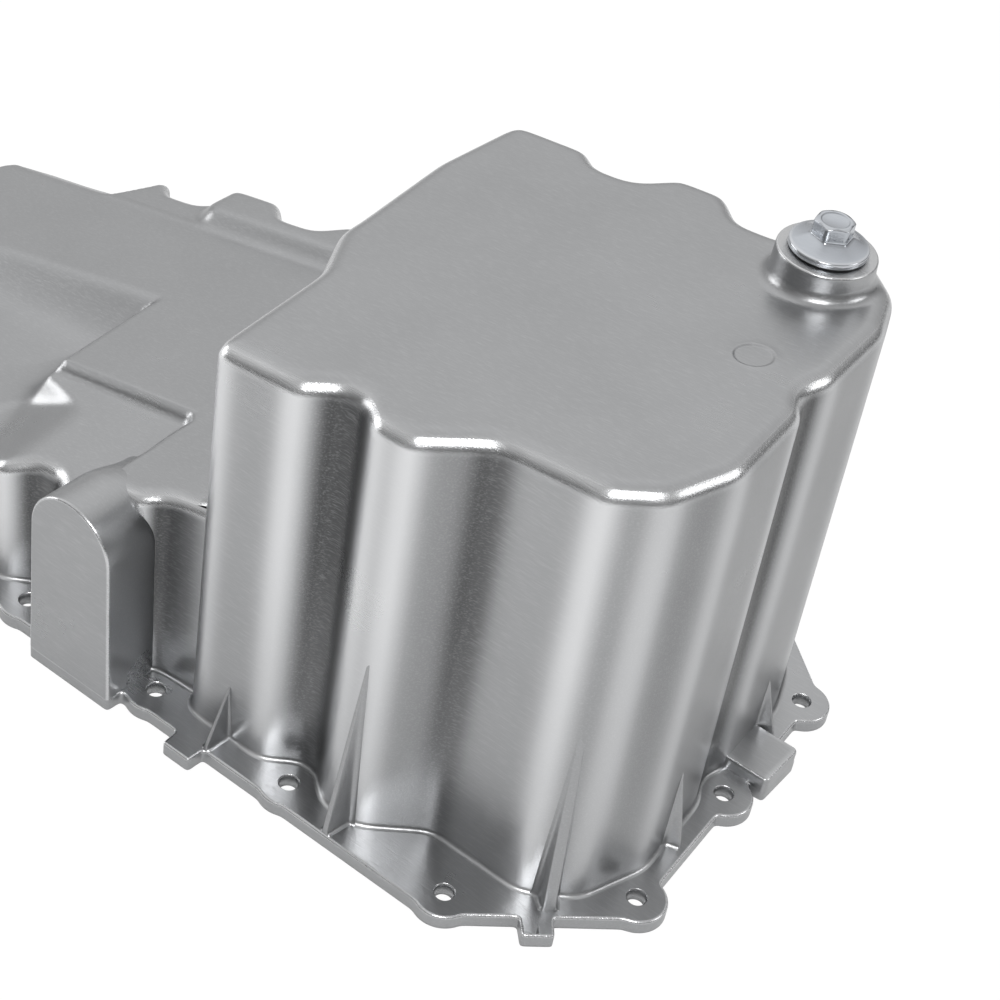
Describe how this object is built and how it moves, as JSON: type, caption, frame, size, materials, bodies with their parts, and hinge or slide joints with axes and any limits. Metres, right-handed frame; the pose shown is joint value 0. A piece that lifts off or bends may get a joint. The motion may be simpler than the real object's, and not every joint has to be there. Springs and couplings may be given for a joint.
{
  "type": "engine oil pan",
  "caption": "Die cast aluminium engine oil pan with a deep fluted sump, sloping stepped tray, scalloped gasket flange with ribs, and a threaded drain plug",
  "frame": {"origin": "middle of the pan's overall plan size, on the plane of the gasket face", "axes": "+X along the long side towards the drain end, +Y away from the near side with the lug, +Z from the gasket face up to the sump floor"},
  "size_m": [0.4998, 0.2364, 0.2084],
  "materials": {
    "cast_aluminium": "fine satin casting, shot blasted",
    "seal": "matte black",
    "plated_steel": "bright zinc plating with a faint blue tint"
  },
  "bodies": {
    "pan": {"pan_casting": "cast_aluminium"},
    "seal": {"sealing_ring": "seal"},
    "plug": {"drain_plug": "plated_steel"}
  },
  "joints": [
    {"name": "plug_lift", "type": "slide", "parent": "pan", "child": "seal", "axis": [0, 0, 1], "range_m": [0, 0.018]},
    {"name": "plug_turn", "type": "hinge", "parent": "seal", "child": "plug", "pos_m": [0.1898, 0.0719, 0.1965], "axis": [0, 0, 1], "range_deg": [0, 4320]}
  ],
  "couplings": [
    {"joint": "plug_turn", "follows": "plug_lift", "rad_per_m": 4188.8}
  ]
}
